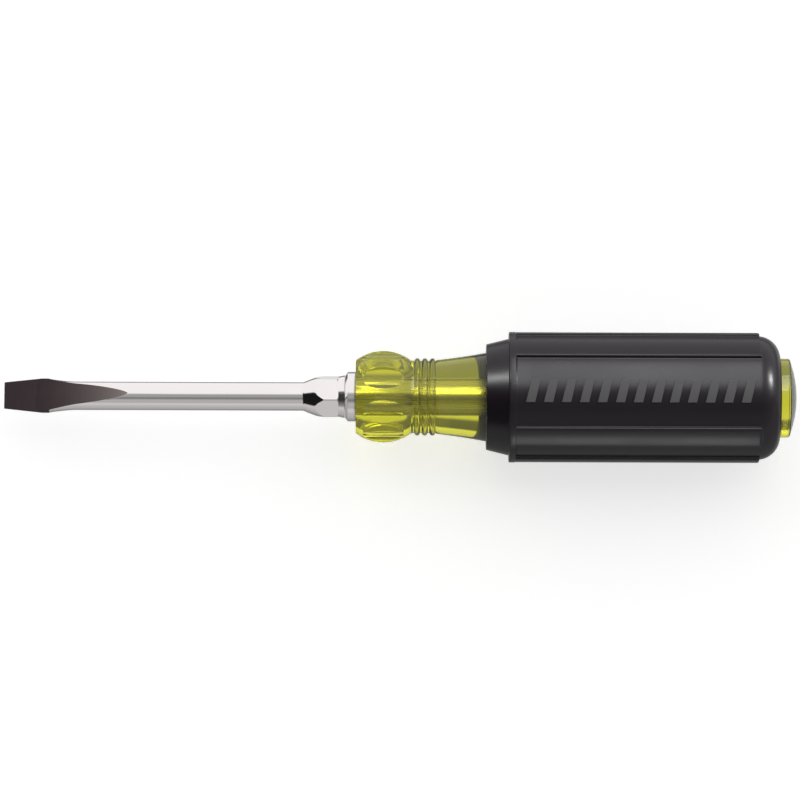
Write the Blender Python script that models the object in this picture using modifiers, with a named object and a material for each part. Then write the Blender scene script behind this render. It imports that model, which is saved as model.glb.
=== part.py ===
"""Flat-blade screwdriver with a clear acetate handle and a ribbed cushion grip.

Every piece is modelled upright, with the driver's tip at the origin and the handle above it.
The empty at the end lays the tool down: tip at the origin, handle towards +X, and the broad
panels of the grip facing +Z and -Z. A roll angle is counted from +Z towards +Y around the tool.
"""

import math

import bmesh
import bpy
from mathutils import Matrix

MM = 0.001
GAP = 0.3 * MM                 # clearance between neighbouring pieces

# Tip: a keystone blade ground from a round bar.
TIP_WIDTH = 6.6 * MM
TIP_THICKNESS = 1.1 * MM
SHOULDER_WIDTH = 8.6 * MM      # widest part of the keystone
SHOULDER_START = 9.4 * MM
SHOULDER_END = 11.0 * MM
FLARE_END = 18.0 * MM          # where the keystone has narrowed to the shank
WEDGE_END = 8.0 * MM           # the flats are a slim wedge up to here, then an ogee
WEDGE_THICKNESS = 2.2 * MM
FLATS_END = 31.0 * MM          # where the flats run out on the round shank
OGEE = 1.32                    # how much the ogee bends; 1 is straight
HOLLOW = 1.6                   # the same for the plan's curve behind the shoulders
TIP_ROLL = 6.0                 # degrees, of the upper flat

# Shank, bolster and tang.
SHANK_RADIUS = 3.57 * MM
CONE_START = 74.7 * MM          # a slightly swelling cone up to the hexagon
CONE_MIDDLE = 77.2 * MM
CONE_MIDDLE_RADIUS = 4.58 * MM
CONE_END = 79.9 * MM
BOLSTER_END = 83.5 * MM
BOLSTER_ACROSS_FLATS = 9.5 * MM
BOLSTER_ROLL = 15.0            # degrees
BOLSTER_CHAMFER = 0.3 * MM
NECK_RADIUS = 5.1 * MM          # just behind the bolster, flaring out to the seam
SEAM_RADIUS = 5.4 * MM
TANG_RADIUS = 3.2 * MM
TANG_END = 150.0 * MM
TANG_CHAMFER = 0.4 * MM
WING_START = 128.0 * MM        # the tang is pinched into two wings that stop it turning
WING_END = 142.0 * MM
WING_SPAN = 10.0 * MM
WING_THICKNESS = 1.4 * MM

# Collar ring in front of the handle.
COLLAR_START = 85.2 * MM
COLLAR_END = 87.55 * MM
COLLAR_RADIUS = 6.22 * MM
COLLAR_FRONT_RADIUS = 5.5 * MM
COLLAR_CHAMFER = 0.65 * MM

# Handle core.
CORE_START = 87.85 * MM
CORE_FACE_RADIUS = 9.2 * MM
BULB_CENTRE = 95.1 * MM
BULB_RADIUS = 11.45 * MM
BULB_END = 101.7 * MM
BULB_END_RADIUS = 9.15 * MM
FLUTES = 8
FLUTE_RADIUS = 6.2 * MM
FLUTE_OFFSET = 16.5 * MM
FLUTE_ROLL = 19.5              # degrees, of the first flute
RINGS = 3
FIRST_RING = 103.2 * MM
RING_PITCH = 1.9 * MM
RING_WIDTH = 1.5 * MM
RING_RADIUS = 9.7 * MM
RING_ROOT_RADIUS = 9.1 * MM
NECK_START = 108.2 * MM
NECK_START_RADIUS = 9.28 * MM
SEAT_START = 126.5 * MM        # the cushion grip sits on this straight stretch
SEAT_END = 188.6 * MM
SEAT_RADIUS = 12.5 * MM
BUTT_START = 191.6 * MM
BUTT_RADIUS = 9.87 * MM
BUTT_EDGE = 195.75 * MM
BUTT_ROUND = 0.6 * MM
LENGTH = 198.0 * MM

# Cushion grip.
GRIP_START = 120.4 * MM
GRIP_START_CORE_RADIUS = 11.15 * MM
GRIP_NOSE_RADIUS = 13.2 * MM
FLANGE_START = 126.05 * MM
FLANGE_END = 127.8 * MM
FLANGE_RADIUS = 16.33 * MM
NOSE_END_RADIUS = 14.6 * MM
GRIP_RADIUS = 15.45 * MM
GRIP_ROUND_RADIUS = 5.6 * MM   # rounding of the rear end
GRIP_ROUND_START = 188.2 * MM
GRIP_ROUND_ANGLE = 82.0        # degrees, where the rounding meets the rear mouth
GRIP_EDGE = 0.35 * MM          # chamfer at the front and rear mouths
RIB_RADIUS = 16.25 * MM
RIB_HALF_ANGLE = 11.25         # degrees
RIB_EDGE = 0.4 * MM
RIB_END = 188.65 * MM
RIB_ROLLS = (45, 90, 135, 225, 270, 315)   # two broad panels, at 0 and 180, have no rib

# Facets around the turned pieces and the cutters.
CORE_STEPS = 48
GRIP_STEPS = 60
BLADE_STEPS = 40
RING_SIDES = 12
FLUTE_STEPS = 32


def start_scene():
    """Empties the scene and returns the collections of the parts and of the cutters."""
    for found in list(bpy.data.objects):
        bpy.data.objects.remove(found, do_unlink=True)
    groups = []
    for name in ("screwdriver", "cutters"):
        group = bpy.data.collections.new(name)
        bpy.context.scene.collection.children.link(group)
        groups.append(group)
    return groups


def material(name, colour, roughness, metallic=0.0, transmission=0.0):
    """A Principled material."""
    made = bpy.data.materials.new(name)
    made.use_nodes = True
    shader = made.node_tree.nodes["Principled BSDF"]
    shader.inputs["Base Color"].default_value = (*colour, 1.0)
    shader.inputs["Roughness"].default_value = roughness
    shader.inputs["Metallic"].default_value = metallic
    shader.inputs["Transmission Weight"].default_value = transmission
    made.diffuse_color = (*colour, 1.0)
    return made


def add_object(name, mesh, group):
    made = bpy.data.objects.new(name, mesh)
    group.objects.link(made)
    return made


def make_cutter(thing):
    """Marks a helper solid, which only shapes another piece."""
    thing.hide_render = True
    thing.display_type = "WIRE"
    return thing


def spread(first, last, count):
    """Evenly spaced values from first to last, both included."""
    return [first + (last - first) * i / (count - 1) for i in range(count)]


def arc(start, middle, end, steps):
    """Points on the circle through three (radius, height) points, without the first."""
    (ax, ay), (bx, by), (cx, cy) = start, middle, end
    d = 2 * (ax * (by - cy) + bx * (cy - ay) + cx * (ay - by))
    a2, b2, c2 = ax * ax + ay * ay, bx * bx + by * by, cx * cx + cy * cy
    ux = (a2 * (by - cy) + b2 * (cy - ay) + c2 * (ay - by)) / d
    uy = (a2 * (cx - bx) + b2 * (ax - cx) + c2 * (bx - ax)) / d
    radius = math.hypot(ax - ux, ay - uy)
    first = math.atan2(ay - uy, ax - ux)
    mid = (math.atan2(by - uy, bx - ux) - first) % math.tau
    turn = (math.atan2(cy - uy, cx - ux) - first) % math.tau
    if mid > turn:
        turn -= math.tau
    angles = [first + turn * i / steps for i in range(1, steps + 1)]
    return [(ux + radius * math.cos(a), uy + radius * math.sin(a)) for a in angles]


def turned(name, profile, steps, group, closed=False):
    """A turned solid from (radius, height) points that run down its outer side."""
    mesh = bpy.data.meshes.new(name)
    edges = [(i, i + 1) for i in range(len(profile) - 1)]
    if closed:
        edges.append((len(profile) - 1, 0))
    mesh.from_pydata([(r, 0.0, z) for r, z in profile], edges, [])
    made = add_object(name, mesh, group)
    screw = made.modifiers.new("turn", "SCREW")
    screw.axis = "Z"
    screw.angle = math.tau
    screw.steps = steps
    screw.render_steps = steps
    screw.use_merge_vertices = True
    screw.merge_threshold = 0.00001
    screw.use_smooth_shade = True
    return made


def cylinder(name, radius, bottom, top, sides, group, at=(0.0, 0.0)):
    """An upright cylinder; with few sides, a prism with a corner towards +Y."""
    bpy.ops.mesh.primitive_cylinder_add(
        vertices=sides, radius=radius, depth=top - bottom,
        location=(at[0], at[1], (bottom + top) / 2),
    )
    return claim(name, group)


def box(name, size, centre, group):
    """A box of the given size with its scale applied."""
    bpy.ops.mesh.primitive_cube_add(size=1.0, location=centre)
    made = claim(name, group)
    made.data.transform(Matrix.Diagonal((*size, 1.0)))
    return made


def claim(name, group):
    """Names the primitive just added and moves it to its collection."""
    made = bpy.context.object
    made.name = name
    made.data.name = name
    for held in list(made.users_collection):
        held.objects.unlink(made)
    group.objects.link(made)
    return made


def outline_solid(name, points, half_depth, group):
    """A closed flat outline, thickened both ways, as a mesh."""
    curve = bpy.data.curves.new(name, "CURVE")
    curve.dimensions = "2D"
    curve.fill_mode = "BOTH"
    curve.extrude = half_depth
    spline = curve.splines.new("POLY")
    spline.points.add(len(points) - 1)
    for point, (x, y) in zip(spline.points, points):
        point.co = (x, y, 0.0, 1.0)
    spline.use_cyclic_u = True
    drawn = add_object(name + "_outline", curve, group)
    graph = bpy.context.evaluated_depsgraph_get()
    mesh = bpy.data.meshes.new_from_object(drawn.evaluated_get(graph))
    weld(mesh)
    bpy.data.objects.remove(drawn)
    return add_object(name, mesh, group)


def weld(mesh):
    """Joins the loose caps of a solid made from a curve."""
    work = bmesh.new()
    work.from_mesh(mesh)
    bmesh.ops.remove_doubles(work, verts=work.verts, dist=0.00001)
    bmesh.ops.recalc_face_normals(work, faces=work.faces)
    work.to_mesh(mesh)
    work.free()


def combine(target, operand, operation):
    """Adds a Boolean of the operand to the target."""
    step = target.modifiers.new(operand.name, "BOOLEAN")
    step.operation = operation
    step.object = operand
    step.solver = "EXACT"


def around(roll):
    """The angle around the upright tool, from its +X towards its +Y, of a roll in degrees."""
    return math.pi - math.radians(roll)


# ---- Blade ----

def plan_radius(height):
    """Half the width of the tip, seen square on to its flats."""
    tip, shoulder = TIP_WIDTH / 2, SHOULDER_WIDTH / 2
    if height <= SHOULDER_START:
        return tip + (shoulder - tip) * height / SHOULDER_START
    if height <= SHOULDER_END:
        return shoulder
    left = max(0.0, (FLARE_END - height) / (FLARE_END - SHOULDER_END))
    return SHANK_RADIUS + (shoulder - SHANK_RADIUS) * left ** HOLLOW


def half_thickness(height):
    """Half the distance between the two flats: a slim wedge, then an ogee up to the shank."""
    tip, wedge = TIP_THICKNESS / 2, WEDGE_THICKNESS / 2
    if height <= WEDGE_END:
        return tip + (wedge - tip) * height / WEDGE_END
    left = max(0.0, (FLATS_END - height) / (FLATS_END - WEDGE_END))
    return SHANK_RADIUS - (SHANK_RADIUS - wedge) * left ** OGEE


def blade_profile():
    """The round outline of the one-piece blade, from the tang's end down to the tip."""
    corner = BOLSTER_ACROSS_FLATS / 2 / math.cos(math.pi / 6)
    profile = [
        (0.0, TANG_END),
        (TANG_RADIUS - TANG_CHAMFER, TANG_END),
        (TANG_RADIUS, TANG_END - TANG_CHAMFER),
        (TANG_RADIUS, COLLAR_START - GAP),
        (SEAM_RADIUS, COLLAR_START - GAP),
        (NECK_RADIUS, BOLSTER_END),
        (corner - BOLSTER_CHAMFER, BOLSTER_END),
        (corner, BOLSTER_END - BOLSTER_CHAMFER),
        (corner, CONE_END),
    ]
    profile += arc((corner, CONE_END), (CONE_MIDDLE_RADIUS, CONE_MIDDLE),
                   (SHANK_RADIUS, CONE_START), 4)
    profile += [(plan_radius(z), z) for z in spread(FLARE_END, SHOULDER_END, 6)]
    profile += [(plan_radius(SHOULDER_START), SHOULDER_START), (plan_radius(0.0), 0.0), (0.0, 0.0)]
    return profile


def make_blade(parts, cutters):
    """One forging: tip, shank, hexagonal bolster and the tang inside the handle."""
    blade = turned("blade", blade_profile(), BLADE_STEPS, parts)
    # A ring with a hexagonal hole trims the round bolster and its cone to six flats.
    ring = cylinder("hex_ring", 2 * NECK_RADIUS, CONE_START - MM, BOLSTER_END + GAP / 2,
                    RING_SIDES, cutters)
    hole = cylinder("hex_hole", BOLSTER_ACROSS_FLATS / 2 / math.cos(math.pi / 6),
                    CONE_START - 2 * MM, BOLSTER_END + MM, 6, cutters)
    hole.rotation_euler.z = around(BOLSTER_ROLL)
    combine(ring, make_cutter(hole), "DIFFERENCE")
    combine(blade, make_cutter(ring), "DIFFERENCE")
    for number, side in enumerate((1, -1)):
        # The wedge runs on past the tip, so that the cut leaves nothing there.
        heights = [-MM] + spread(WEDGE_END, FLATS_END, 13)
        line = [(z, side * half_thickness(z)) for z in heights]
        far = side * 2 * SHANK_RADIUS
        line += [(FLATS_END, far), (-MM, far)]
        ogee = outline_solid(f"ogee_{number}", line, 2 * SHANK_RADIUS, cutters)
        # The outline's own X runs up the tool and its own Y across the flats.
        ogee.rotation_euler = (-math.pi / 2, -math.pi / 2, -math.radians(TIP_ROLL))
        combine(blade, make_cutter(ogee), "DIFFERENCE")
    wings = box("wings", (WING_THICKNESS, WING_SPAN, WING_END - WING_START),
                (0.0, 0.0, (WING_START + WING_END) / 2), cutters)
    combine(blade, make_cutter(wings), "UNION")
    return blade


# ---- Collar ----

def make_collar(parts):
    """The ring between the bolster and the handle."""
    hole = TANG_RADIUS + GAP
    profile = [
        (COLLAR_RADIUS, COLLAR_END),
        (COLLAR_RADIUS, COLLAR_START + COLLAR_CHAMFER),
        (COLLAR_FRONT_RADIUS, COLLAR_START),
        (hole, COLLAR_START),
        (hole, COLLAR_END),
    ]
    return turned("bolster_collar", profile, BLADE_STEPS, parts, closed=True)


# ---- Handle core ----

def core_seat():
    """The core's side under the cushion grip and in front of it, from the rear forwards."""
    flare = arc((SEAT_RADIUS, SEAT_START), (GRIP_START_CORE_RADIUS, GRIP_START),
                (NECK_START_RADIUS, NECK_START), 9)
    return [(BUTT_RADIUS, BUTT_START), (SEAT_RADIUS, SEAT_END), (SEAT_RADIUS, SEAT_START)] + flare


def core_profile():
    """The turned outline of the core, from the middle of the butt to the middle of the front."""
    edge = BUTT_RADIUS - BUTT_ROUND
    dome = arc((-edge, BUTT_EDGE + BUTT_ROUND), (0.0, LENGTH), (edge, BUTT_EDGE + BUTT_ROUND), 8)
    profile = [(0.0, LENGTH)] + dome[4:]
    profile += [(BUTT_RADIUS, BUTT_EDGE)] + core_seat()
    for number in reversed(range(RINGS)):
        middle = FIRST_RING + number * RING_PITCH
        rear, front = middle + RING_WIDTH / 2, middle - RING_WIDTH / 2
        profile += [(RING_ROOT_RADIUS, rear)]
        profile += arc((RING_ROOT_RADIUS, rear), (RING_RADIUS, middle), (RING_ROOT_RADIUS, front), 4)
    profile += [(BULB_END_RADIUS, BULB_END)]
    profile += arc((BULB_END_RADIUS, BULB_END), (BULB_RADIUS, BULB_CENTRE),
                   (CORE_FACE_RADIUS, CORE_START), 10)
    return profile + [(0.0, CORE_START)]


def make_core(parts, cutters):
    """The clear handle: fluted bulb, three rings, neck, grip seat and domed butt."""
    core = turned("handle_core", core_profile(), CORE_STEPS, parts)
    for number in range(FLUTES):
        angle = around(FLUTE_ROLL + 360.0 * number / FLUTES)
        centre = (FLUTE_OFFSET * math.cos(angle), FLUTE_OFFSET * math.sin(angle))
        flute = cylinder(f"flute_{number}", FLUTE_RADIUS, CORE_START - MM, BULB_END,
                         FLUTE_STEPS, cutters, at=centre)
        combine(core, make_cutter(flute), "DIFFERENCE")
    bore = cylinder("bore", TANG_RADIUS + GAP, CORE_START - MM, TANG_END + GAP,
                    BLADE_STEPS, cutters)
    slot = box("wing_slot",
               (WING_THICKNESS + 2 * GAP, WING_SPAN + 2 * GAP, WING_END - WING_START + 2 * GAP),
               (0.0, 0.0, (WING_START + WING_END) / 2), cutters)
    combine(bore, make_cutter(slot), "UNION")
    combine(core, make_cutter(bore), "DIFFERENCE")
    return core


# ---- Cushion grip ----

def grip_profile():
    """A closed section of the sleeve: down its outside, then back up along the core."""
    seat = [(r + GAP, z) for r, z in core_seat() if z > GRIP_START + MM]
    mouth = BUTT_RADIUS + GAP
    rear = GRIP_ROUND_START + GRIP_ROUND_RADIUS
    centre = GRIP_RADIUS - GRIP_ROUND_RADIUS
    profile = [(centre + GRIP_ROUND_RADIUS * math.cos(turn),
                GRIP_ROUND_START + GRIP_ROUND_RADIUS * math.sin(turn))
               for turn in spread(math.radians(GRIP_ROUND_ANGLE), 0.0, 8)]
    profile += [
        (GRIP_RADIUS, FLANGE_END),
        (FLANGE_RADIUS, FLANGE_END),
        (FLANGE_RADIUS, FLANGE_START),
        (NOSE_END_RADIUS, FLANGE_START),
        (GRIP_NOSE_RADIUS, GRIP_START + GRIP_EDGE),
        (GRIP_NOSE_RADIUS - GRIP_EDGE, GRIP_START),
        (GRIP_START_CORE_RADIUS + GAP, GRIP_START),
    ]
    return profile + seat[::-1] + [(mouth, rear - GRIP_EDGE)]


def rib_outline():
    """A rib's cross-section, centred on +X: radial sides and a round top."""
    half = math.radians(RIB_HALF_ANGLE)
    turns = spread(-half, half, 5)
    inner = GRIP_RADIUS - MM
    points = [(RIB_RADIUS * math.cos(t), RIB_RADIUS * math.sin(t)) for t in turns]
    points += [(inner * math.cos(t), inner * math.sin(t)) for t in (half, -half)]
    return points


def make_grip(parts, cutters):
    """The vinyl sleeve: nose cone, round flange, six ribs and a rounded rear end."""
    grip = turned("cushion_grip", grip_profile(), GRIP_STEPS, parts, closed=True)
    start = (FLANGE_START + FLANGE_END) / 2
    for number, roll in enumerate(RIB_ROLLS):
        rib = outline_solid(f"rib_{number}", rib_outline(), (RIB_END - start) / 2, cutters)
        rib.location.z = (RIB_END + start) / 2
        rib.rotation_euler.z = around(roll)
        edge = rib.modifiers.new("edge", "BEVEL")
        edge.width = RIB_EDGE
        edge.segments = 1
        edge.limit_method = "ANGLE"
        edge.angle_limit = math.radians(60)
        combine(grip, make_cutter(rib), "UNION")
    return grip


def main():
    parts, cutters = start_scene()
    pieces = {
        make_blade(parts, cutters): ("chromed_steel", (0.72, 0.70, 0.69), 0.15, 1.0),
        make_collar(parts): ("collar_steel", (0.70, 0.68, 0.67), 0.2, 1.0),
        make_core(parts, cutters): ("yellow_acetate", (0.55, 0.53, 0.05), 0.08, 0.0, 0.9),
        make_grip(parts, cutters): ("black_vinyl", (0.022, 0.020, 0.023), 0.4),
    }
    tool = add_object("tool_axis", None, parts)
    tool.rotation_euler = (0.0, math.pi / 2, 0.0)
    for piece, looks in pieces.items():
        piece.data.materials.append(material(*looks))
        piece.parent = tool
    for helper in cutters.objects:
        helper.parent = tool


main()
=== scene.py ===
"""Looks of the slotted screwdriver: finer meshes for its four pieces, materials, light and camera.

Lengths are in metres in the CAD's frame: the tool lies along X with its tip at the origin and its
butt at +X. Places along the tool come from the CAD nodes' boxes. A roll is an angle around the
tool, from +Z towards +Y. Each fine mesh keeps the outside of its CAD node, and the whole stays
inside the CAD's box. The CAD leaves gaps of 0.3 mm between its pieces. Here the neck, the collar,
the core's bore and the grip's front mouth reach into those gaps, so that the pieces meet or
nearly do. The bore has no room for the tang's wings, which are out of sight: they stand in the
plastic.
"""

import math

import bmesh
import bpy
from mathutils import Matrix, Quaternion, Vector


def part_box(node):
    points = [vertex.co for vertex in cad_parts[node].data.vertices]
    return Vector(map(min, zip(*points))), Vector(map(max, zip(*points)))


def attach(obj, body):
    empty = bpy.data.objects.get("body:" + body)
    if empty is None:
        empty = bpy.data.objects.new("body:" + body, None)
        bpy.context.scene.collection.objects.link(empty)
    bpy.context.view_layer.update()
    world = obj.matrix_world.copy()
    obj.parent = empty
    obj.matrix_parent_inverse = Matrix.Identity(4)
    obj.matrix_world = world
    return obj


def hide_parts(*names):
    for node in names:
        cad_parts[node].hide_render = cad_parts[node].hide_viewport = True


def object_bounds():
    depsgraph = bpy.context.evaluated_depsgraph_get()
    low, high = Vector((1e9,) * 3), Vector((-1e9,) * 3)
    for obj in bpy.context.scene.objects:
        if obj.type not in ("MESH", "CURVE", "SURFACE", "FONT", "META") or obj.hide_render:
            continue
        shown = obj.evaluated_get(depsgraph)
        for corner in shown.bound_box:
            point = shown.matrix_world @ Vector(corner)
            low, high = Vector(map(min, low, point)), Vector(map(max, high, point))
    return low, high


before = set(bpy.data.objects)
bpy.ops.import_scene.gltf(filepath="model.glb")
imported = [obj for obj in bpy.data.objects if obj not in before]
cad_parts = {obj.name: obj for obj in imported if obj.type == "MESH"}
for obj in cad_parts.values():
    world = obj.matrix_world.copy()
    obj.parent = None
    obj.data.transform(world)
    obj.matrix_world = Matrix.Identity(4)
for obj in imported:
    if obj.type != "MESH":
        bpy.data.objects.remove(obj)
cad_low, cad_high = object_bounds()

MM = 0.001


def box_of(node):
    """A CAD node's start and end along the tool, and its radius."""
    low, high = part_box(node)
    return low[0], high[0], high[1]


_, BLADE_END, _ = box_of("blade")
COLLAR_START, _, COLLAR_RADIUS = box_of("bolster_collar")
CORE_START, CORE_END, SEAT_RADIUS = box_of("handle_core")
GRIP_START, GRIP_END, FLANGE_RADIUS = box_of("cushion_grip")
FLOOR = cad_low[2] - 0.02 * MM

# Blade.
TIP_WIDTH = 6.6 * MM
TIP_THICKNESS = 1.1 * MM
TIP_ROLL = math.radians(6.0)
SHOULDER_WIDTH = 8.6 * MM
SHOULDER_START = 9.4 * MM
SHOULDER_END = 11.0 * MM
FLARE_END = 18.0 * MM
WEDGE_END = 8.0 * MM
WEDGE_THICKNESS = 2.2 * MM
FLATS_END = 31.0 * MM
OGEE = 1.32                                # how much the ogee bends; 1 is straight
HOLLOW = 1.6                               # the same for the curve behind the shoulders
DARK_END = 11.3 * MM                       # the whole tip is dark up to here
SHANK_RADIUS = 3.57 * MM
CONE_START = 74.7 * MM
CONE_MIDDLE = 77.2 * MM
CONE_MIDDLE_RADIUS = 4.58 * MM
CONE_END = 79.9 * MM
BOLSTER_END = 83.5 * MM
BOLSTER_APOTHEM = 4.75 * MM
BOLSTER_CORNER = 5.42 * MM
BOLSTER_ROLL = math.radians(15.0)
BOLSTER_CHAMFER = 0.3 * MM
NECK_RADIUS = 5.05 * MM
SEAM_RADIUS = 5.38 * MM
SEAM = COLLAR_START - 0.12 * MM            # where the neck stops, just short of the collar
NECK_STEP = 0.02 * MM                      # from the bolster's rear face to the neck
TANG_RADIUS = 3.2 * MM
TANG_CHAMFER = 0.4 * MM
WING_SPAN = 10.0 * MM
WING_THICKNESS = 1.4 * MM
WING_START = 128.0 * MM
WING_END = 142.0 * MM
FLAT_RINGS = 94                            # sections along the ground flats
SHANK_RINGS = 60
FLAT_TOLERANCE = 0.015 * MM                # how near to a ground flat's plane a face has to be
BLADE_EDGE = 0.07 * MM                     # rounding of the blade's edges

# Collar.
COLLAR_FRONT_RADIUS = 5.5 * MM
COLLAR_CHAMFER = 0.65 * MM
COLLAR_HOLE_RADIUS = TANG_RADIUS + 0.3 * MM
COLLAR_FILLET = 0.12 * MM
COLLAR_EDGE = 0.04 * MM
COLLAR_COLUMNS = 96

# Handle core, from its front face.
BULB_CENTRE = CORE_START + 7.25 * MM
BULB_END = CORE_START + 13.85 * MM
CORE_FACE_RADIUS = 9.2 * MM
BULB_RADIUS = 11.45 * MM
BULB_END_RADIUS = 9.15 * MM
FLUTES = 8
FLUTE_RADIUS = 6.2 * MM
FLUTE_OFFSET = 16.5 * MM
FLUTE_ROLL = math.radians(19.5)
RINGS = 3
FIRST_RING = CORE_START + 15.35 * MM
RING_PITCH = 1.9 * MM
RING_WIDTH = 1.5 * MM
RING_RADIUS = 9.7 * MM
RING_ROOT_RADIUS = 9.1 * MM
NECK_START = CORE_START + 20.35 * MM
NECK_START_RADIUS = 9.28 * MM
MOUTH_RADIUS = 11.15 * MM                  # the core's radius at the grip's front mouth
SEAT_START = GRIP_START + 6.1 * MM
SEAT_END = CORE_END - 9.4 * MM
BUTT_START = CORE_END - 6.4 * MM
BUTT_RADIUS = 9.87 * MM
BUTT_EDGE = CORE_END - 2.25 * MM
BUTT_ROUND = 0.6 * MM
CORE_EDGE = 0.08 * MM
BULB_STEPS = 64
RING_STEPS = 14
FLARE_STEPS = 24
DOME_STEPS = 24                            # from the butt's edge to its middle
BORE_TIP_RADIUS = 0.002 * MM               # the bore's end face closes to this

# Cushion grip.
GRIP_NOSE_RADIUS = 13.2 * MM
NOSE_END_RADIUS = 14.6 * MM
FLANGE_START = GRIP_START + 5.65 * MM
FLANGE_END = GRIP_START + 7.4 * MM
GRIP_RADIUS = 15.45 * MM
GRIP_ROUND_RADIUS = 5.6 * MM
GRIP_ROUND_START = GRIP_START + 67.8 * MM
GRIP_ROUND_ANGLE = math.radians(82.0)
RIB_RADIUS = 16.25 * MM
RIB_EDGE = 0.45 * MM                       # rounding of a rib's edges and rear end
RIB_HALF_ANGLE = 11.25
RIB_END = GRIP_START + 68.2 * MM
RIB_ROLLS = (45, 90, 135, 225, 270, 315)
GRIP_FILLET = 0.25 * MM
MOUTH_INSET = 0.3 * MM                     # from the grip's ends to where its bore starts
RIB_LEAD = 0.3 * MM                        # the ribs start this far ahead of the flange's rear

WETTING = 0.01 * MM                        # the core overlaps the tang and the grip's front by
                                           # this, and the collar stops this short of the core
AIR = 0.28 * MM                            # gap between the core and the rest of the grip


# ---- Mesh helpers ----

def spread(first, last, count):
    """Evenly spaced values from first to last, both included."""
    return [first + (last - first) * i / (count - 1) for i in range(count)]


def arc(start, middle, end, steps):
    """Points on the circle through three (x, radius) points, without the first."""
    (ax, ay), (bx, by), (cx, cy) = start, middle, end
    d = 2 * (ax * (by - cy) + bx * (cy - ay) + cx * (ay - by))
    a2, b2, c2 = ax * ax + ay * ay, bx * bx + by * by, cx * cx + cy * cy
    ux = (a2 * (by - cy) + b2 * (cy - ay) + c2 * (ay - by)) / d
    uy = (a2 * (cx - bx) + b2 * (ax - cx) + c2 * (bx - ax)) / d
    radius = math.hypot(ax - ux, ay - uy)
    first = math.atan2(ay - uy, ax - ux)
    mid = (math.atan2(by - uy, bx - ux) - first) % math.tau
    turn = (math.atan2(cy - uy, cx - ux) - first) % math.tau
    if mid > turn:
        turn -= math.tau
    angles = [first + turn * i / steps for i in range(1, steps + 1)]
    return [(ux + radius * math.cos(a), uy + radius * math.sin(a)) for a in angles]


def fillet(profile, corners, radius, steps=4):
    """Rounds the numbered corners of an (x, radius) profile."""
    made = []
    for i, point in enumerate(profile):
        if i not in corners:
            made.append(point)
            continue
        here = Vector(point)
        to_last = (Vector(profile[i - 1]) - here).normalized()
        to_next = (Vector(profile[(i + 1) % len(profile)]) - here).normalized()
        half = to_last.angle(to_next) / 2
        reach = radius / math.tan(half)
        centre = here + (to_last + to_next).normalized() * radius / math.sin(half)
        near, far = here + to_last * reach, here + to_next * reach
        made.append(tuple(near))
        middle = centre + (here - centre).normalized() * radius
        made += arc(tuple(near), tuple(middle), tuple(far), steps)
    return made


def at_roll(x, radius, roll):
    """The point at a radius and a roll in radians."""
    return (x, radius * math.sin(roll), radius * math.cos(roll))


def loft(name, rings, loop=False):
    """A smooth mesh through rings of equal length. A loop joins the last ring to the first,
    and otherwise each end gets a flat cap."""
    work = bmesh.new()
    rows = [[work.verts.new(point) for point in ring] for ring in rings]
    count = len(rows[0])
    pairs = list(zip(rows, rows[1:]))
    if loop:
        pairs.append((rows[-1], rows[0]))
    for lower, upper in pairs:
        for i in range(count):
            j = (i + 1) % count
            work.faces.new((lower[i], lower[j], upper[j], upper[i]))
    if not loop:
        work.faces.new(rows[0][::-1])
        work.faces.new(rows[-1])
    bmesh.ops.remove_doubles(work, verts=work.verts, dist=1e-7)
    bmesh.ops.dissolve_degenerate(work, edges=work.edges, dist=1e-7)
    bmesh.ops.recalc_face_normals(work, faces=work.faces)
    return add_piece(name, work)


def add_piece(name, work):
    """The object made from a bmesh, shaded smooth."""
    mesh = bpy.data.meshes.new(name)
    work.to_mesh(mesh)
    work.free()
    mesh.shade_smooth()
    made = bpy.data.objects.new(name, mesh)
    bpy.context.scene.collection.objects.link(made)
    return made


def turned_rings(profile, columns):
    """Rings of a turned shape from its (x, radius) profile."""
    return [[at_roll(x, r, math.tau * i / columns) for i in range(columns)] for x, r in profile]


def soften(piece, width, sharp=28.0, segments=2):
    """Rounded edges where faces meet at more than sharp degrees."""
    edge = piece.modifiers.new("edges", "BEVEL")
    edge.width = width
    edge.segments = segments
    edge.limit_method = "ANGLE"
    edge.angle_limit = math.radians(sharp)
    edge.harden_normals = True
    edge.use_clamp_overlap = True


def hold(piece, node):
    """The piece stands for a CAD node: it hangs from the root body, and the node is hidden."""
    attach(piece, "root")
    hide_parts(node)


# ---- Blade ----

FLAT_STEPS, SIDE_STEPS = 16, 32            # steps across a ground flat and around a side
COLUMNS = 2 * (FLAT_STEPS + SIDE_STEPS)
FIRST_ROLL = TIP_ROLL - math.tau * FLAT_STEPS / COLUMNS / 2
HEX_STEPS = COLUMNS // 12                  # steps across a hexagon flat, and between two


def even_ring(x, radius, gather=0.0):
    """A round section. Gathering moves its points towards those where the flats run out."""
    ring = []
    for i in range(COLUMNS):
        side, step = divmod(i, FLAT_STEPS + SIDE_STEPS)
        gathered = TIP_ROLL + math.pi * (side + max(0, step - FLAT_STEPS) / SIDE_STEPS)
        even = FIRST_ROLL + math.tau * i / COLUMNS
        ring.append(at_roll(x, radius, even + (gathered - even) * gather))
    return ring


def slotted_ring(x, radius, half):
    """A round section with two flats at plus and minus half, with a point on each edge."""
    edge = math.acos(min(1.0, half / radius))
    reach = radius * math.sin(edge)
    ring = []
    for side in (0.0, math.pi):
        for i in range(FLAT_STEPS):
            across = (2 * i / FLAT_STEPS - 1) * reach
            ring.append(at_roll(x, math.hypot(across, half),
                                TIP_ROLL + side + math.atan2(across, half)))
        turn = (math.pi - 2 * edge) / SIDE_STEPS
        ring += [at_roll(x, radius, TIP_ROLL + side + edge + turn * i) for i in range(SIDE_STEPS)]
    return ring


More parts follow.
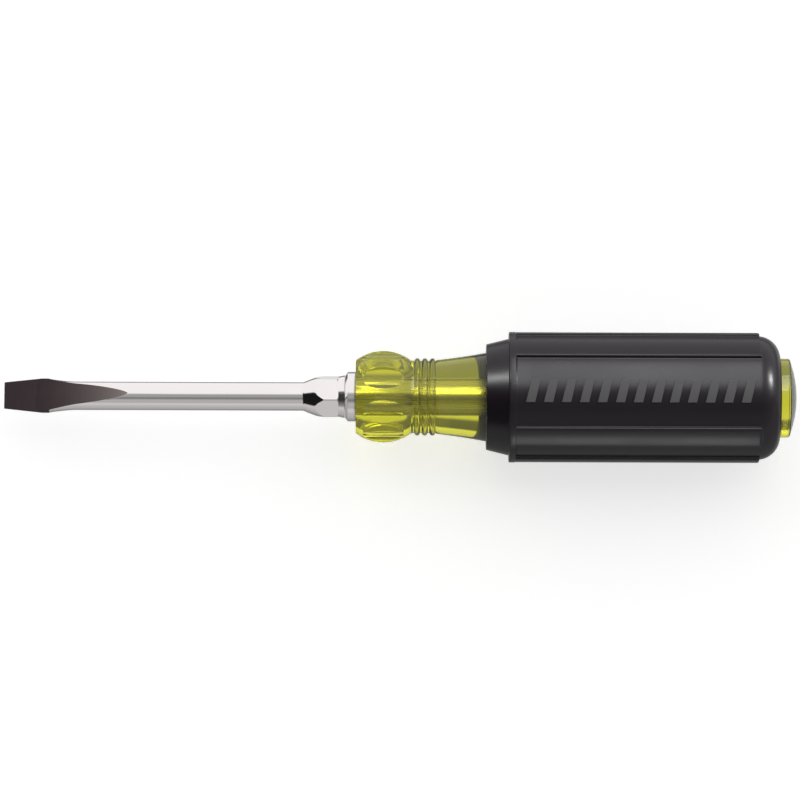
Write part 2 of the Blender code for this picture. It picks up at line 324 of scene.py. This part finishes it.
def hex_ring(x, radius):
    """A round section with six flats cut into it."""
    edge = math.acos(min(1.0, BOLSTER_APOTHEM / radius))
    ring = []
    for side in range(6):
        normal = BOLSTER_ROLL + side * math.pi / 3
        for i in range(HEX_STEPS):
            off = edge * (2 * i / HEX_STEPS - 1)
            ring.append(at_roll(x, min(radius, BOLSTER_APOTHEM / math.cos(off)), normal + off))
        between = (math.pi / 3 - 2 * edge) / HEX_STEPS
        ring += [at_roll(x, radius, normal + edge + between * i) for i in range(HEX_STEPS)]
    shift = round((BOLSTER_ROLL - math.pi / 12 - FIRST_ROLL) / math.tau * COLUMNS)
    return ring[-shift:] + ring[:-shift]


def winged_ring(x):
    """The tang where it is pinched into two wings."""
    ring = []
    for i in range(COLUMNS):
        roll = FIRST_ROLL + math.tau * i / COLUMNS
        across = WING_SPAN / 2 / max(1e-6, abs(math.sin(roll)))
        along = WING_THICKNESS / 2 / max(1e-6, abs(math.cos(roll)))
        ring.append(at_roll(x, max(TANG_RADIUS, min(across, along)), roll))
    return ring


def plan_radius(x):
    """Half the width of the tip, seen square on to its flats."""
    tip, shoulder = TIP_WIDTH / 2, SHOULDER_WIDTH / 2
    if x <= SHOULDER_START:
        return tip + (shoulder - tip) * x / SHOULDER_START
    if x <= SHOULDER_END:
        return shoulder
    left = max(0.0, (FLARE_END - x) / (FLARE_END - SHOULDER_END))
    return SHANK_RADIUS + (shoulder - SHANK_RADIUS) * left ** HOLLOW


def half_thickness(x):
    """Half the distance between the flats: a slim wedge, then an ogee up to the shank."""
    tip, wedge = TIP_THICKNESS / 2, WEDGE_THICKNESS / 2
    if x <= WEDGE_END:
        return tip + (wedge - tip) * x / WEDGE_END
    left = max(0.0, (FLATS_END - x) / (FLATS_END - WEDGE_END))
    return SHANK_RADIUS - (SHANK_RADIUS - wedge) * left ** OGEE


def blade_finish(centre):
    """The material slot of a face of the blade, from its centre: 0 chrome, 1 ground flat,
    2 bare tang."""
    if centre.x > SEAM - 0.01 * MM:
        return 2
    across = abs(centre.y * math.sin(TIP_ROLL) + centre.z * math.cos(TIP_ROLL))
    on_flat = centre.x < FLATS_END and abs(across - half_thickness(centre.x)) < FLAT_TOLERANCE
    return 1 if on_flat or centre.x < DARK_END else 0


def make_blade():
    rings = [slotted_ring(x, plan_radius(x), half_thickness(x))
             for x in spread(0.0, FLATS_END, FLAT_RINGS)]
    rings += [even_ring(x, SHANK_RADIUS, (CONE_START - x) / (CONE_START - FLATS_END))
              for x in spread(FLATS_END, CONE_START, SHANK_RINGS)[1:]]
    cone = arc((CONE_START, SHANK_RADIUS), (CONE_MIDDLE, CONE_MIDDLE_RADIUS),
               (CONE_END, BOLSTER_CORNER), 16)
    rings += [hex_ring(x, r) if r > BOLSTER_APOTHEM else even_ring(x, r) for x, r in cone]
    rings += [hex_ring(x, BOLSTER_CORNER)
              for x in spread(CONE_END, BOLSTER_END - BOLSTER_CHAMFER, 6)[1:]]
    rings.append(hex_ring(BOLSTER_END, BOLSTER_CORNER - BOLSTER_CHAMFER))
    rings += [even_ring(BOLSTER_END + NECK_STEP, NECK_RADIUS), even_ring(SEAM, SEAM_RADIUS)]
    rings += [even_ring(x, TANG_RADIUS) for x in spread(SEAM, WING_START, 20)]
    rings += [winged_ring(x) for x in spread(WING_START, WING_END, 4)]
    rings += [even_ring(x, TANG_RADIUS) for x in spread(WING_END, BLADE_END - TANG_CHAMFER, 3)]
    rings.append(even_ring(BLADE_END, TANG_RADIUS - TANG_CHAMFER))
    blade = loft("blade_fine", rings)
    for finish in (chrome(), black_oxide(), bare_steel()):
        blade.data.materials.append(finish)
    for face in blade.data.polygons:
        face.material_index = blade_finish(face.center)
    soften(blade, BLADE_EDGE)
    hold(blade, "blade")
    return blade


# ---- Collar ----

def make_collar():
    """The ring that fills the space between the bolster's seam and the handle."""
    rear = CORE_START - WETTING
    profile = [
        (COLLAR_START, COLLAR_HOLE_RADIUS), (COLLAR_START, COLLAR_FRONT_RADIUS),
        (COLLAR_START + COLLAR_CHAMFER, COLLAR_RADIUS), (rear, COLLAR_RADIUS),
        (rear, COLLAR_HOLE_RADIUS),
    ]
    profile = fillet(profile, (1, 2, 3), COLLAR_FILLET)
    collar = loft("bolster_collar_fine", turned_rings(profile, COLLAR_COLUMNS), loop=True)
    collar.data.materials.append(chrome())
    soften(collar, COLLAR_EDGE)
    hold(collar, "bolster_collar")


# ---- Handle core ----

FLUTE_STEPS, LAND_STEPS = 12, 8            # steps across a flute, and between two
CORE_COLUMNS = FLUTES * (FLUTE_STEPS + LAND_STEPS)


def core_ring(x, radius):
    """A round section, with eight flutes where the radius reaches them."""
    fluted = CORE_START < x < BULB_END and radius > FLUTE_OFFSET - FLUTE_RADIUS
    edge = math.pi / FLUTES * FLUTE_STEPS / (FLUTE_STEPS + LAND_STEPS)
    if fluted:
        edge = math.acos((radius ** 2 + FLUTE_OFFSET ** 2 - FLUTE_RADIUS ** 2)
                         / (2 * radius * FLUTE_OFFSET))
    ring = []
    for flute in range(FLUTES):
        middle = FLUTE_ROLL + math.tau * flute / FLUTES
        for i in range(FLUTE_STEPS):
            off = edge * (2 * i / FLUTE_STEPS - 1)
            reach = radius
            if fluted:
                across = FLUTE_OFFSET * math.sin(off)
                reach = FLUTE_OFFSET * math.cos(off) - math.sqrt(FLUTE_RADIUS ** 2 - across ** 2)
            ring.append(at_roll(x, min(radius, reach), middle + off))
        between = (math.tau / FLUTES - 2 * edge) / LAND_STEPS
        ring += [at_roll(x, radius, middle + edge + between * i) for i in range(LAND_STEPS)]
    return ring


def neck_flare():
    """The hollow flare of the neck, on under the front of the grip."""
    neck = (NECK_START, NECK_START_RADIUS)
    return [neck] + arc(neck, (GRIP_START, MOUTH_RADIUS), (SEAT_START, SEAT_RADIUS),
                        FLARE_STEPS)


def core_profile():
    """(x, radius) from the front face to the butt, one step short of the dome's middle, where
    the mesh's flat cap closes it."""
    front = [(CORE_START, CORE_FACE_RADIUS)]
    profile = front + arc(front[0], (BULB_CENTRE, BULB_RADIUS), (BULB_END, BULB_END_RADIUS),
                          BULB_STEPS)
    for number in range(RINGS):
        middle = FIRST_RING + number * RING_PITCH
        start = (middle - RING_WIDTH / 2, RING_ROOT_RADIUS)
        end = (middle + RING_WIDTH / 2, RING_ROOT_RADIUS)
        profile += [start] + arc(start, (middle, RING_RADIUS), end, RING_STEPS)
    profile += neck_flare()
    profile += [(SEAT_END, SEAT_RADIUS), (BUTT_START, BUTT_RADIUS), (BUTT_EDGE, BUTT_RADIUS)]
    edge = (BUTT_EDGE + BUTT_ROUND, BUTT_RADIUS - BUTT_ROUND)
    middle = (BUTT_EDGE + 0.7 * BUTT_ROUND, BUTT_RADIUS - 0.3 * BUTT_ROUND)
    profile += arc((BUTT_EDGE, BUTT_RADIUS), middle, edge, 8)
    dome = arc(edge, (CORE_END, 0.0), (edge[0], -edge[1]), 2 * DOME_STEPS)
    return profile + dome[:DOME_STEPS - 1]


def make_core():
    bore = TANG_RADIUS - WETTING
    inside = [(BLADE_END, BORE_TIP_RADIUS), (BLADE_END, bore), (CORE_START, bore)]
    rings = turned_rings(inside, CORE_COLUMNS)
    rings += [core_ring(x, r) for x, r in core_profile()]
    core = loft("handle_core_fine", rings)
    core.data.materials.append(acetate())
    soften(core, CORE_EDGE, sharp=24.0)
    hold(core, "handle_core")
    return core


# ---- Cushion grip ----

def rib_section():
    """(roll in degrees, height from 0 to 1) around the grip: six ribs with rounded edges."""
    inset = math.degrees(RIB_EDGE / RIB_RADIUS)
    edge = RIB_EDGE / (RIB_RADIUS - GRIP_RADIUS)
    section = []
    for rib in RIB_ROLLS:
        side = rib - RIB_HALF_ANGLE
        rise = [(side - 1.6, 0.0), (side - 0.5, 0.0), (side - 0.15, 0.06), (side - 0.02, 0.22)]
        for turn in spread(0.0, math.pi / 2, 6):
            rise.append((side + inset * (1 - math.cos(turn)), 1 - edge * (1 - math.sin(turn))))
        top = [(rib + off, 1.0) for off in spread(inset - RIB_HALF_ANGLE, RIB_HALF_ANGLE - inset, 9)]
        section += rise + top[1:-1] + [(2 * rib - roll, height) for roll, height in rise[::-1]]
    for panel in (0, 180):
        section += [(panel + off, 0.0) for off in spread(-30.0, 30.0, 13)]
    for recess in (67.5, 112.5, 247.5, 292.5):
        section += [(recess + off, 0.0) for off in spread(-8.0, 8.0, 5)]
    return sorted((roll % 360, height) for roll, height in section)


def rib_share(x):
    """How much of the ribs' height is there: their rear ends are rounded and then stop."""
    past = (x - RIB_END) / RIB_EDGE + 1
    if past <= 0:
        return 1.0
    if past > 1:
        return 0.0
    return 1 - RIB_EDGE / (RIB_RADIUS - GRIP_RADIUS) * (1 - math.sqrt(1 - past ** 2))


def body_radius(x):
    """The grip's radius behind the flange, between the ribs."""
    past = max(0.0, x - GRIP_ROUND_START)
    return GRIP_RADIUS - GRIP_ROUND_RADIUS + math.sqrt(GRIP_ROUND_RADIUS ** 2 - past ** 2)


def grip_outline():
    """(x, radius) from the front mouth back along the outside to the rear mouth."""
    nose = [
        (GRIP_START, MOUTH_RADIUS - WETTING), (GRIP_START, GRIP_NOSE_RADIUS),
        (FLANGE_START, NOSE_END_RADIUS), (FLANGE_START, FLANGE_RADIUS),
        (FLANGE_END, FLANGE_RADIUS), (FLANGE_END, GRIP_RADIUS), (RIB_END, GRIP_RADIUS),
    ]
    outline = fillet(nose, (1, 2, 3, 4, 5), GRIP_FILLET, 5)[:-1]
    places = spread(outline[-1][0], RIB_END - RIB_EDGE, 16)[1:]
    places += [RIB_END - RIB_EDGE * (1 - math.sin(turn)) for turn in spread(0.0, math.pi / 2, 6)[1:]]
    places.append(RIB_END + 0.03 * MM)
    start = math.asin((places[-1] + 0.2 * MM - GRIP_ROUND_START) / GRIP_ROUND_RADIUS)
    places += [GRIP_ROUND_START + GRIP_ROUND_RADIUS * math.sin(turn)
               for turn in spread(start, GRIP_ROUND_ANGLE, 22)]
    return outline + [(x, body_radius(x)) for x in places]


def make_grip():
    section = rib_section()
    rings = []
    for x, radius in grip_outline():
        share = rib_share(x) if x > FLANGE_END - RIB_LEAD else 0.0
        ring = []
        for roll, height in section:
            ribbed = radius + (RIB_RADIUS - radius) * height * share
            ring.append(at_roll(x, max(radius, ribbed), math.radians(roll)))
        rings.append(ring)
    inside = [(GRIP_END - MOUTH_INSET, BUTT_RADIUS), (BUTT_START, BUTT_RADIUS),
              (SEAT_END, SEAT_RADIUS), (SEAT_START + 1.5 * MM, SEAT_RADIUS)]
    inside += [(x, r) for x, r in neck_flare()[::-1] if x > GRIP_START + MOUTH_INSET]
    for x, r in inside:
        clearance = AIR if x > SEAT_START + MM else -WETTING
        rings.append([at_roll(x, r + clearance, math.radians(roll)) for roll, _ in section])
    grip = loft("cushion_grip_fine", rings, loop=True)
    grip.data.materials.append(vinyl())
    hold(grip, "cushion_grip")
    return grip


BARS = 13
BAR_PITCH = 4.45 * MM
BAR_WIDTH = 2.3 * MM
BAR_LENGTH = 5.6 * MM
BAR_HEIGHT = 0.32 * MM
BAR_LEAN = math.tan(math.radians(14))
BAR_ROOT = 0.05 * MM                       # how far a bar is sunk into the panel
BAR_EDGE = 0.12 * MM
BAR_STEPS = 6                              # facets along a bar, which follows the panel's curve


def add_bar(work, start, panel):
    """One slanted block, curved around the grip, centred at start on the panel's middle."""
    levels = []
    for radius in (GRIP_RADIUS - BAR_ROOT, GRIP_RADIUS + BAR_HEIGHT):
        corners = []
        for v in spread(-BAR_LENGTH / 2, BAR_LENGTH / 2, BAR_STEPS + 1):
            for u in (-BAR_WIDTH / 2, BAR_WIDTH / 2):
                place = at_roll(start + u + v * BAR_LEAN, radius, panel + v / GRIP_RADIUS)
                corners.append(work.verts.new(place))
        levels.append(corners)
    low, high = levels
    for row in range(0, 2 * BAR_STEPS, 2):
        a, b, c, d = row, row + 1, row + 3, row + 2
        work.faces.new((low[a], low[b], low[c], low[d]))
        work.faces.new((high[a], high[b], high[c], high[d]))
        work.faces.new((low[a], low[d], high[d], high[a]))
        work.faces.new((low[b], low[c], high[c], high[b]))
    for a, b in ((0, 1), (-2, -1)):
        work.faces.new((low[a], low[b], high[b], high[a]))


def make_bars():
    """A row of slanted raised bars, moulded on each broad panel."""
    middle = (FLANGE_END + RIB_END) / 2 + 0.4 * MM
    work = bmesh.new()
    for panel in (0.0, math.pi):
        for number in range(BARS):
            add_bar(work, middle + (number - (BARS - 1) / 2) * BAR_PITCH, panel)
    bmesh.ops.recalc_face_normals(work, faces=work.faces)
    bars = add_piece("grip_bars", work)
    bars.data.materials.append(bar_vinyl())
    soften(bars, BAR_EDGE, sharp=35.0, segments=3)
    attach(bars, "root")
    return bars


# ---- Materials ----

def shader_of(name, **values):
    """A new material's node tree and its Principled shader, with the given sockets set."""
    made = bpy.data.materials.new(name)
    made.use_nodes = True
    shader = made.node_tree.nodes["Principled BSDF"]
    for socket, value in values.items():
        shader.inputs[socket.replace("_", " ")].default_value = value
    return made, made.node_tree, shader


def add_node(tree, kind, sockets=None, **settings):
    """A node with its settings, and with sockets given as values or as other nodes' outputs."""
    node = tree.nodes.new(kind)
    for name, value in settings.items():
        setattr(node, name, value)
    for name, value in (sockets or {}).items():
        if isinstance(value, bpy.types.NodeSocket):
            tree.links.new(value, node.inputs[name])
        else:
            node.inputs[name].default_value = value
    return node


def noise(tree, scale, detail=3.0, rough=0.5):
    """Noise with its own count of features per metre along X, Y and Z."""
    where = add_node(tree, "ShaderNodeTexCoord")
    place = add_node(tree, "ShaderNodeMapping", {"Vector": where.outputs["Object"], "Scale": scale})
    return add_node(tree, "ShaderNodeTexNoise", {
        "Vector": place.outputs["Vector"], "Scale": 1.0, "Detail": detail, "Roughness": rough,
    }).outputs["Fac"]


def spanned(tree, source, low, high, start=0.3, end=0.7, ease="LINEAR"):
    """A value mapped from start..end to low..high."""
    return add_node(tree, "ShaderNodeMapRange", {
        "Value": source, "From Min": start, "From Max": end, "To Min": low, "To Max": high,
    }, interpolation_type=ease).outputs["Result"]


def maths(tree, operation, first, second=0.0):
    """One arithmetic step."""
    return add_node(tree, "ShaderNodeMath", {0: first, 1: second}, operation=operation).outputs[0]


def blended(tree, share, first, second):
    """A colour between two colours or colour outputs."""
    mix = add_node(tree, "ShaderNodeMix", {"Factor": share, 6: first, 7: second}, data_type="RGBA")
    return mix.outputs[2]


def bump(tree, shader, *layers):
    """Bump from (height, depth in metres) layers, one over another."""
    normal = None
    for height, depth in layers:
        sockets = {"Height": height, "Distance": depth, "Strength": 1.0}
        if normal is not None:
            sockets["Normal"] = normal
        normal = add_node(tree, "ShaderNodeBump", sockets).outputs["Normal"]
    tree.links.new(normal, shader.inputs["Normal"])


def chrome():
    """Bright plating with faint lengthwise polishing lines and a slightly wavy surface."""
    made, tree, shader = shader_of("chrome_plate", Metallic=1.0,
                                   Base_Color=(0.925, 0.885, 0.878, 1.0))
    smudge = noise(tree, (120, 260, 260))
    tree.links.new(spanned(tree, smudge, 0.05, 0.12), shader.inputs["Roughness"])
    bump(tree, shader, (noise(tree, (40, 5200, 5200), 4.0), 0.0000012),
         (noise(tree, (130, 420, 420), 1.0), 0.000006))
    return made


def black_oxide():
    """Ground flats with a dark brown-black finish, lightened to grey towards the ogee's end as painted
    reflection of the studio.
    """
    made, tree, shader = shader_of("ground_flats", Metallic=1.0)
    where = add_node(tree, "ShaderNodeTexCoord")
    along = add_node(tree, "ShaderNodeSeparateXYZ", {"Vector": where.outputs["Object"]})
    # Painted reflection: the flats' colour turns from the dark finish to grey along X, standing in for
    # the brighter studio that the sloping ogee reflects.
    share = spanned(tree, along.outputs["X"], 0.0, 1.0, 0.0, FLATS_END)
    painted_reflection_share = maths(tree, "POWER", share, 2.5)
    grind = noise(tree, (6000, 260, 260))
    stain = noise(tree, (240, 420, 420))
    uneven = maths(tree, "ADD", spanned(tree, stain, -0.015, 0.015), spanned(tree, grind, -0.02, 0.02))
    # From the dark finish's own colour to the grey of the painted reflection; the noise adds uneven
    # tone.
    colour = blended(tree, maths(tree, "ADD", painted_reflection_share, uneven),
                     (0.050, 0.036, 0.041, 1.0), (0.25, 0.214, 0.204, 1.0))
    tree.links.new(colour, shader.inputs["Base Color"])
    tree.links.new(spanned(tree, stain, 0.36, 0.46), shader.inputs["Roughness"])
    bump(tree, shader, (grind, 0.0000015))
    return made


def bare_steel():
    """The unplated tang inside the handle."""
    made, tree, shader = shader_of("bare_tang", Metallic=1.0, Base_Color=(0.50, 0.48, 0.46, 1.0))
    lines = noise(tree, (60, 2600, 2600), 4.0)
    tree.links.new(spanned(tree, lines, 0.16, 0.34), shader.inputs["Roughness"])
    bump(tree, shader, (lines, 0.000001))
    return made


def acetate():
    """Clear yellow-green plastic, tinted by its depth, with slight waves in its polish."""
    made, tree, shader = shader_of("clear_acetate", Base_Color=(0.95, 0.95, 0.45, 1.0), IOR=1.475,
                                   Transmission_Weight=0.96)
    haze = noise(tree, (300, 300, 300))
    tree.links.new(spanned(tree, haze, 0.01, 0.045), shader.inputs["Roughness"])
    bump(tree, shader, (noise(tree, (160, 160, 160), 1.0), 0.000002))
    depth = add_node(tree, "ShaderNodeVolumeAbsorption", {
        "Color": (0.95, 0.945, 0.25, 1.0), "Density": 170.0})
    tree.links.new(depth.outputs["Volume"], tree.nodes["Material Output"].inputs["Volume"])
    return made


def vinyl():
    """Soft black vinyl with a fine grain and uneven gloss from handling."""
    made, tree, shader = shader_of("black_vinyl_grip", Base_Color=(0.0062, 0.0042, 0.0066, 1.0),
                                   Specular_IOR_Level=0.36)
    rubbed = noise(tree, (60, 120, 120), 4.0)
    tree.links.new(spanned(tree, rubbed, 0.26, 0.33), shader.inputs["Roughness"])
    bump(tree, shader, (noise(tree, (7000, 7000, 7000), 2.0), 0.000003),
         (noise(tree, (250, 500, 500), 2.0), 0.000004))
    return made


def bar_vinyl():
    """The same vinyl with the matt, blasted surface of the raised bars."""
    made, tree, shader = shader_of("matt_vinyl_bars", Base_Color=(0.092, 0.089, 0.093, 1.0))
    blast = noise(tree, (9000, 9000, 9000), 3.0, 0.7)
    tree.links.new(spanned(tree, blast, 0.5, 0.75), shader.inputs["Roughness"])
    bump(tree, shader, (blast, 0.00004))
    return made


# ---- Studio ----

# Brightness of the studio around the tool: (roll in degrees, brightness) across the middle, and
# near the dark opening at the tip's end.
STUDIO = ((-180, 0.66), (-166, 0.28), (-146, 0.27), (-127, 0.42), (-100, 0.49), (-88, 0.53),
          (-78, 0.62), (-68, 0.60), (-58, 0.42), (-45, 0.47), (-34, 0.40), (-27, 0.20),
          (-18, 0.24), (-9, 0.38), (-1, 0.34), (7, 0.40), (15, 0.94), (100, 0.97), (131, 0.95),
          (134, 0.12), (149, 0.16), (153, 0.78), (180, 0.66))
STUDIO_END = ((-180, 0.24), (-127, 0.42), (-80, 0.60), (-70, 0.01), (20, 0.01), (28, 0.94),
              (131, 0.95), (134, 0.12), (180, 0.24))


def make_floor():
    """A pale table that glows a little, so that the tool's shadow stays faint."""
    bpy.ops.mesh.primitive_plane_add(size=4.0, location=(0.1, 0.0, FLOOR))
    floor = bpy.context.object
    floor.name = "floor"
    made, _, _ = shader_of("pale_floor", Base_Color=(0.8, 0.8, 0.8, 1.0), Roughness=0.9,
                           Specular_IOR_Level=0.1, Emission_Color=(1.0, 1.0, 1.0, 1.0),
                           Emission_Strength=0.63)
    floor.data.materials.append(made)
    floor.visible_glossy = False
    floor.visible_transmission = False


def make_camera():
    """Looks almost straight down, 6 degrees off, with the tip to the left."""
    data = bpy.data.cameras.new("camera")
    data.sensor_width = 36.0
    frame_width, distance = 0.200, 1.5
    data.lens = data.sensor_width * distance / frame_width
    data.clip_start, data.clip_end = 0.01, 20.0
    camera = bpy.data.objects.new("camera", data)
    bpy.context.scene.collection.objects.link(camera)
    elevation, tilt = math.radians(84), math.radians(0.19)
    back = Vector((0.0, -math.cos(elevation), math.sin(elevation)))
    target = Vector((98.9 * MM, -0.8 * MM, 0.0))
    camera.location = target + back * distance
    camera.rotation_mode = "QUATERNION"
    level = (-back).to_track_quat("-Z", "Y")
    camera.rotation_quaternion = level @ Quaternion((0.0, 0.0, 1.0), tilt)
    bpy.context.scene.camera = camera


def softbox(name, at, slant, roll, distance, length, height, radiance, lit):
    """A soft lamp facing a place on the tool, slanted towards +X and rolled around it, both in
    degrees. It lights only the pieces in a list."""
    slant, roll = math.radians(slant), math.radians(roll)
    towards = Vector(at_roll(math.sin(slant), math.cos(slant), roll))
    side = (Vector((1, 0, 0)) - towards * towards.x).normalized()
    data = bpy.data.lights.new(name, "AREA")
    data.shape = "RECTANGLE"
    data.size, data.size_y = length, height
    data.energy = radiance * math.pi * length * height
    lamp = bpy.data.objects.new(name, data)
    bpy.context.scene.collection.objects.link(lamp)
    lamp.location = Vector(at) + towards * distance
    lamp.rotation_mode = "QUATERNION"
    lamp.rotation_quaternion = Matrix((side, towards.cross(side), towards)).transposed().to_quaternion()
    lamp.visible_camera = False
    lamp.light_linking.receiver_collection = bpy.data.collections.new(name + "_lit")
    for piece in lit:
        lamp.light_linking.receiver_collection.objects.link(piece)


def brightness(tree, share, stops):
    """A brightness read from (roll, level) stops."""
    ramp = add_node(tree, "ShaderNodeValToRGB", {"Fac": share})
    elements = ramp.color_ramp.elements
    for number, (roll, level) in enumerate((stops[0], stops[-1]) + stops[1:-1]):
        place = (roll + 180) / 360
        stop = elements[number] if number < 2 else elements.new(place)
        stop.position = place
        stop.color = (level, level, level, 1.0)
    return ramp.outputs["Color"]


def make_world():
    """A pale studio: a bright side towards +Y, a grey ceiling and a dimmer side towards -Y."""
    world = bpy.data.worlds.new("studio")
    world.use_nodes = True
    tree = world.node_tree
    where = add_node(tree, "ShaderNodeTexCoord")
    axes = add_node(tree, "ShaderNodeSeparateXYZ", {"Vector": where.outputs["Generated"]})
    roll = maths(tree, "ARCTAN2", axes.outputs["Y"], axes.outputs["Z"])
    share = spanned(tree, roll, 0.0, 1.0, -math.pi, math.pi)
    at_end = spanned(tree, axes.outputs["X"], 0.0, 1.0, -0.34, -0.42, "SMOOTHSTEP")
    light = blended(tree, at_end, brightness(tree, share, STUDIO), brightness(tree, share, STUDIO_END))
    tree.links.new(light, tree.nodes["Background"].inputs["Color"])
    bpy.context.scene.world = world


def main():
    bpy.context.scene.view_settings.view_transform = "Standard"
    make_camera()
    make_world()
    make_floor()
    blade = make_blade()
    make_collar()
    core = make_core()
    grip = make_grip()
    bars = make_bars()
    grip_middle = (160 * MM, 0, 0)
    softbox("grip_top", grip_middle, 4.6, 39, 0.5, 0.17, 0.44, 3.9,
            (grip, bars, core, blade))
    softbox("grip_side", grip_middle, 4.6, -88, 0.5, 0.17, 0.15, 3.2, (grip, bars))
    softbox("front_strip", (123 * MM, 5 * MM, 13 * MM), -25.8, 37.8, 0.8, 0.3, 0.16, 20, (grip,))
    softbox("rear_strip", (191 * MM, 4.5 * MM, 14 * MM), 53.3, 43.8, 0.6, 0.14, 0.1, 75, (grip,))


main()
